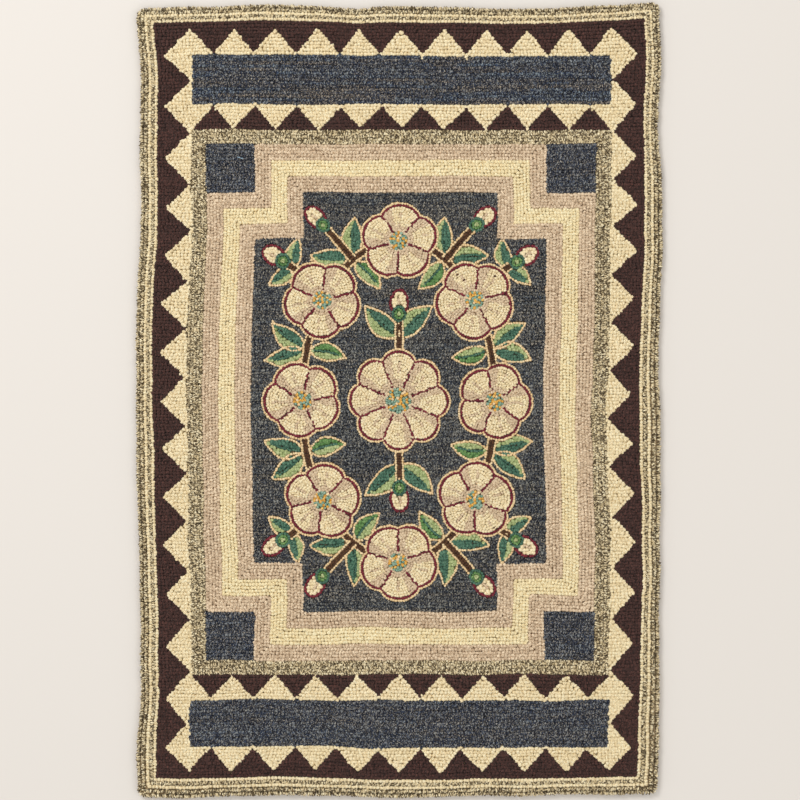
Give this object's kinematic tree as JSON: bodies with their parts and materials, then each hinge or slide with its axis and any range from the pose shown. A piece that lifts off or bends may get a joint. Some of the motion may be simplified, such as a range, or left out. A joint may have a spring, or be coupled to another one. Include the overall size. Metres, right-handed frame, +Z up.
{
  "type": "hooked rug",
  "caption": "Flat rectangular hand-hooked wool rug with a looped pile, a stepped and sawtooth border and a turned-under edge; it lies on a floor.",
  "frame": {"origin": "middle of the flat underside", "axes": "+Z up out of the pile, +Y along the length of the rug, +X across it"},
  "size_m": [0.6096, 0.9206, 0.008],
  "materials": {
    "hooked_wool": "matt looped wool pile"
  },
  "bodies": {
    "root": {"hooked_rug": "hooked_wool"}
  },
  "joints": []
}
